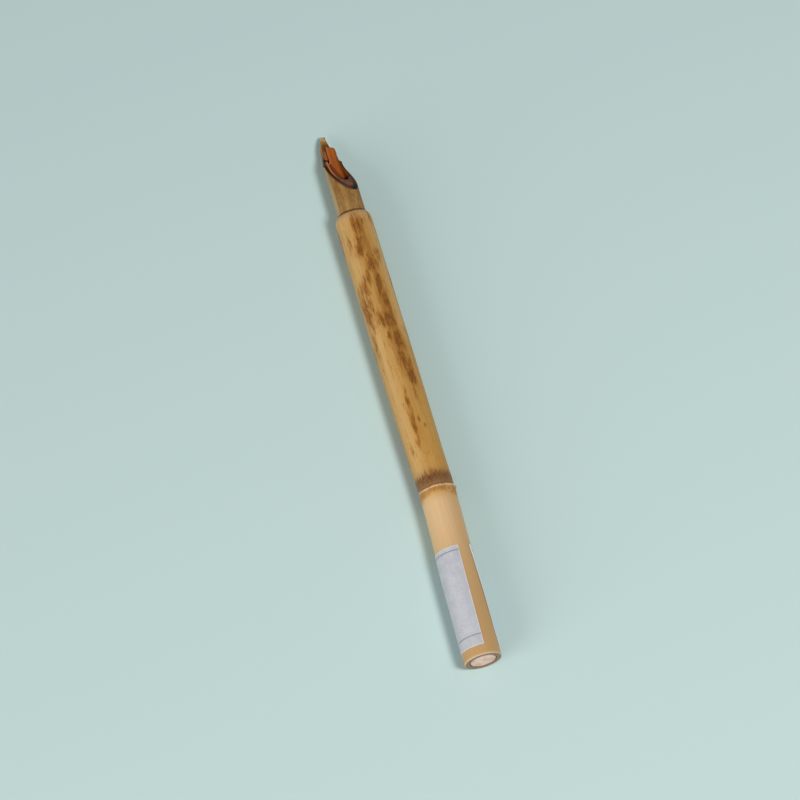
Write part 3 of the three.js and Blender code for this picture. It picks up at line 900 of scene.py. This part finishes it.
def nib_finish():
    f = Finish("nib_reed_skin", specular=0.1)
    tone = f.noise(f.grain(0.05, 0.4, 4.0), detail=3)
    base = f.mix(f.span(tone, 0.36, 0.64), colour("96703d"), colour("b48e57"))
    streak = f.noise(f.grain(0.07, 1.3, 2.0), detail=4, roughness=0.6, distortion=0.3)
    base = f.mix(f.span(streak, 0.45, 0.68, 0, 0.45), base, colour("85562a"))
    patchy = f.noise(f.grain(0.2, 0.6, 11.0), detail=5, roughness=0.68)
    base = f.mix(f.span(patchy, 0.46, 0.64, 0, 0.7), base, colour("805426"))
    speck = f.noise(f.grain(0.8, 1.7, 17.0), detail=5, roughness=0.7)
    base = f.mix(f.span(speck, 0.46, 0.66, 0, 0.5), base, colour("7d5326"))
    fine = f.noise(f.grain(0.1, 5.0, 3.0), detail=3)
    base = f.mix(f.span(fine, 0.4, 0.7, 0, 0.2), base, colour("7b5730"))
    aside = f.attribute("aside")
    # painted highlight: paler along the nib's left flank
    base = f.mix(f.span(aside, -3.0, -4.1, 0.0, 0.6), base, colour("b7a884"))
    forward = f.attribute("forward")
    right = f.attribute("right")
    near_cut = f.attribute("near_cut")
    # the inside: orange, brown towards the tip, with a pale strip along the left edge
    inner = f.mix(f.span(streak, 0.35, 0.65), colour("8a4a1c"), colour("a86a38"))
    browned = f.calc("MULTIPLY_ADD", streak, 2.0, forward)
    inner = f.mix(f.span(browned, 24.6, 26.2), inner, colour("6e4820"))
    strip = f.times(near_cut, f.span(right, 0.5, 0.45))
    strip = f.times(strip, f.span(forward, 20.5, 23.0))
    inner = f.mix(strip, inner, colour("b5935f"))
    # painted shade inside the nib behind the shoulders, darkest on the left
    shade = f.mix(f.span(aside, -0.5, 0.5), colour("4d1d07"), colour("a35d38"))
    inner = f.mix(f.span(forward, 21.6, 21.0), inner, shade)
    base = f.mix(f.attribute("inner"), base, inner)
    edge = f.times(near_cut, f.span(forward, 21.0, 19.0, 0.0, 0.5))
    base = f.mix(edge, base, colour("5f3a18"))
    # cut faces: dark brown, and nearly black where the scoop starts on the right
    cut = f.mix(f.span(fine, 0.35, 0.65), colour("4f280c"), colour("5b3212"))
    low = f.times(f.span(forward, 12.0, 8.5), f.span(right, 0.2, 0.8, 0.6, 1.0))
    cut = f.mix(low, cut, f.mix(right, colour("5a3a1b"), colour("1d150d")))
    cut = f.mix(f.span(forward, 22.0, 24.5), cut, colour("94703f"))
    base = f.mix(f.attribute("cut"), base, cut)
    # painted shadow: a dark line on the nib where it comes out of the holder
    collar_shadow = f.times(f.span(forward, 0.95, 0.35, 0.0, 0.8), f.span(forward, -0.4, 0.0))
    base = f.mix(collar_shadow, base, colour("553611"))
    # the shaved end, with painted shadow at the corner on its right
    tip = f.span(f.calc("MULTIPLY_ADD", streak, 1.6, forward), NIB_TIP - 2.4, NIB_TIP - 0.6)
    shaved = f.mix(f.span(forward, NIB_TIP - 2.2, NIB_TIP - 0.6), colour("a57c44"), colour("c9a468"))
    corner_shadow = f.times(f.span(right, 0.62, 0.85), f.span(forward, NIB_TIP - 0.9, NIB_TIP - 0.3))
    shaved = f.mix(corner_shadow, shaved, colour("67533f"))
    base = f.mix(tip, base, shaved)
    height = f.calc("MULTIPLY_ADD", fine, 0.5, streak)
    return f.finish(base, f.span(streak, 0.3, 0.7, 0.42, 0.56), height, 0.03)


def make_nib():
    return make_reed(
        "nib", nib_finish(),
        stations=cut_stations(NIB_REAR, SCOOP_START, NIB_TIP, (17.3, 20.9)),
        outer_radius=NIB_RADIUS, inner_radius=NIB_RADIUS - NIB_WALL,
        angles=nib_angles, height=scoop_height, inner_shape=nib_inner_shape,
        offset=np.zeros_like, shaved=nib_shaved,
        columns=(132, 90, 6), lumpy=0.03, seed=40.0,
    )


RESERVOIR_LEFT = [
    (18.6, 3.68), (19.5, 2.1), (20.2, 1.475), (21.4, 1.375), (23.6, 1.375), (25.6, 1.275),
]
RESERVOIR_RIGHT = [
    (13.0, 3.68), (14.0, 2.6), (15.2, 2.2), (17.8, 1.65), (19.5, 1.52), (21.4, 1.375),
    (23.6, 1.375), (24.5, 1.175), (25.0, 0.675), (25.6, -1.275),
]


def reservoir_height(x):
    return eased_slope(x, RESERVOIR_PROUD, RESERVOIR_FLOOR, RESERVOIR_EASE)


def reservoir_offset(x):
    """The bore is off centre where the scoop starts, which leaves a thick roof there."""
    return 0.5 * (1 - smooth(11, 15.5, x))


def reservoir_angles(x, radius, side):
    edge = trimmed_edge(RESERVOIR_LEFT if side > 0 else RESERVOIR_RIGHT, x)
    offset = reservoir_offset(x) if radius < RESERVOIR_RADIUS else 0.0
    gap = SCOOP_ROLL - TONGUE_ROLL
    return cut_angle(x, radius, reservoir_height(x), edge, gap, side, offset)


def reservoir_finish():
    f = Finish("reservoir_reed_wall", specular=0.2)
    forward = f.attribute("forward")
    right = f.attribute("right")
    tone = f.noise(f.grain(0.08, 0.6, 4.0), detail=3)
    base = f.mix(f.span(tone, 0.35, 0.65), colour("a95a24"), colour("b9641a"))
    streak = f.noise(f.grain(0.07, 2.4, 2.0), detail=4, roughness=0.6)
    base = f.mix(f.span(streak, 0.42, 0.7, 0, 0.45), base, colour("7b3c14"))
    # painted light and shade: brighter in the middle, painted shade on the flanks and darkest painted
    # shade where the hollow starts
    base = f.mix(f.span(forward, 17.0, 12.5, 0.0, 0.7), base, colour("b35c10"))
    slanted = f.calc("MULTIPLY_ADD", forward, 0.43, f.attribute("aside"))
    slanted = f.calc("MULTIPLY_ADD", streak, 0.7, slanted)
    flank = f.times(f.span(slanted, 7.9, 7.1, 0.0, 0.9), f.span(forward, 20.4, 19.2))
    base = f.mix(flank, base, colour("6d330f"))
    # painted shade along the right side, behind the shoulders
    edge = f.times(f.span(f.attribute("aside"), 1.2, 1.6), f.span(forward, 20.0, 16.0))
    base = f.mix(f.times(edge, 0.6), base, colour("5c2508"))
    # near-black painted shade where the hollow starts
    hollow = f.calc("MAXIMUM", f.attribute("inner"), f.attribute("near_cut"))
    hollow = f.times(hollow, f.span(forward, 14.2, 12.9, 0.0, 0.97))
    base = f.mix(hollow, base, colour("230b05"))
    # cut edge: a wide dull band behind, thin and pale on the left, dark on the right
    ring = f.noise(f.grain(0.5, 0.9, 5.0), detail=3, roughness=0.6)
    wide = f.mix(f.span(ring, 0.35, 0.65), colour("6c3a1c"), colour("835334"))
    cut = f.mix(f.span(forward, 12.6, 14.4), wide, colour("c9855a"))
    right_cut = f.times(f.span(right, 0.45, 0.55), f.span(forward, 9.5, 12.0))
    cut = f.mix(right_cut, cut, colour("663316"))
    base = f.mix(f.attribute("cut"), base, cut)
    rim = f.times(f.attribute("near_cut"), f.span(right, 0.45, 0.55, 0.7, 0.1))
    base = f.mix(f.times(rim, f.span(forward, 18.5, 19.5)), base, colour("c07a50"))
    # painted shade along the right cut edge
    shade = f.times(f.attribute("near_cut"), f.span(right, 0.6, 0.75, 0.0, 0.7))
    shade = f.times(shade, f.span(forward, 12.8, 14.2))
    base = f.mix(shade, base, colour("6f330f"))
    return f.finish(base, f.span(streak, 0.3, 0.7, 0.36, 0.5), streak, 0.025)


def reservoir_inner_shape(x, roll, radius):
    psi = np.radians(SCOOP_ROLL - roll)
    offset = reservoir_offset(x)
    return np.sqrt((radius - offset) ** 2 - (offset * np.sin(psi)) ** 2) - offset * np.cos(psi)


def make_reservoir():
    return make_reed(
        "reservoir", reservoir_finish(),
        stations=cut_stations(RESERVOIR_REAR, RESERVOIR_START, RESERVOIR_TIP, (12.9, 20.6)),
        outer_radius=RESERVOIR_RADIUS, inner_radius=RESERVOIR_RADIUS - RESERVOIR_WALL,
        angles=reservoir_angles, height=reservoir_height, inner_shape=reservoir_inner_shape,
        offset=reservoir_offset, shaved=not_shaved,
        columns=(104, 80, 5), lumpy=0.02, seed=60.0,
    )


# ---------------------------------------------------------------- floor, light and camera

CAMERA_AZIMUTH = 254.05
CAMERA_ELEVATION = 68.9
CAMERA_DISTANCE = 1.587
CAMERA_LENS = 238.0
CAMERA_AIM = Vector((RIM_X - 61.5 * MM, AXIS_Y + 2.4 * MM, AXIS_Z))


def make_floor():
    half = 3.0
    corners = [(-half, -half, 0), (half, -half, 0), (half, half, 0), (-half, half, 0)]
    mesh = bpy.data.meshes.new("floor")
    mesh.from_pydata(corners, [], [(0, 1, 2, 3)])
    f = Finish("pale_floor", roughness=0.8, specular=0.2)
    mesh.materials.append(f.finish(colour("c1d7d4")))
    add_object("floor", mesh)


def face_from(thing, target, azimuth, elevation, distance):
    """Put a lamp or camera at a distance from target, facing it."""
    turn, rise = math.radians(azimuth), math.radians(elevation)
    away = Vector((math.sin(turn) * math.cos(rise), -math.cos(turn) * math.cos(rise), math.sin(rise)))
    thing.location = target + away * distance
    thing.rotation_mode = "QUATERNION"
    thing.rotation_quaternion = away.to_track_quat("Z", "Y")


def make_light(name, azimuth, elevation, distance, size, power):
    """A square soft light that faces the pen."""
    light = bpy.data.lights.new(name, "AREA")
    light.shape = "SQUARE"
    light.size = size
    light.energy = power
    face_from(add_object(name, light), Vector((0, 0, 0)), azimuth, elevation, distance)


def make_world():
    world = bpy.data.worlds.new("studio")
    world.use_nodes = True
    background = world.node_tree.nodes["Background"]
    background.inputs["Color"].default_value = (0.95, 0.98, 1.0, 1.0)
    background.inputs["Strength"].default_value = 0.22
    bpy.context.scene.world = world


def make_camera():
    data = bpy.data.cameras.new("camera")
    data.lens = CAMERA_LENS
    data.sensor_width = 36.0
    data.clip_start = 0.05
    data.clip_end = 20.0
    camera = add_object("camera", data)
    face_from(camera, CAMERA_AIM, CAMERA_AZIMUTH, CAMERA_ELEVATION, CAMERA_DISTANCE)
    bpy.context.scene.camera = camera


make_camera()
make_world()
make_floor()
make_light("key_lamp", azimuth=-49, elevation=62, distance=1.2, size=0.3, power=8.8)
make_light("left_fill", azimuth=207, elevation=21, distance=1.2, size=0.9, power=9.0)
bpy.context.scene.view_settings.view_transform = "Standard"

make_holder()
make_plug()
make_glue()
make_label()
make_nib()
make_reservoir()
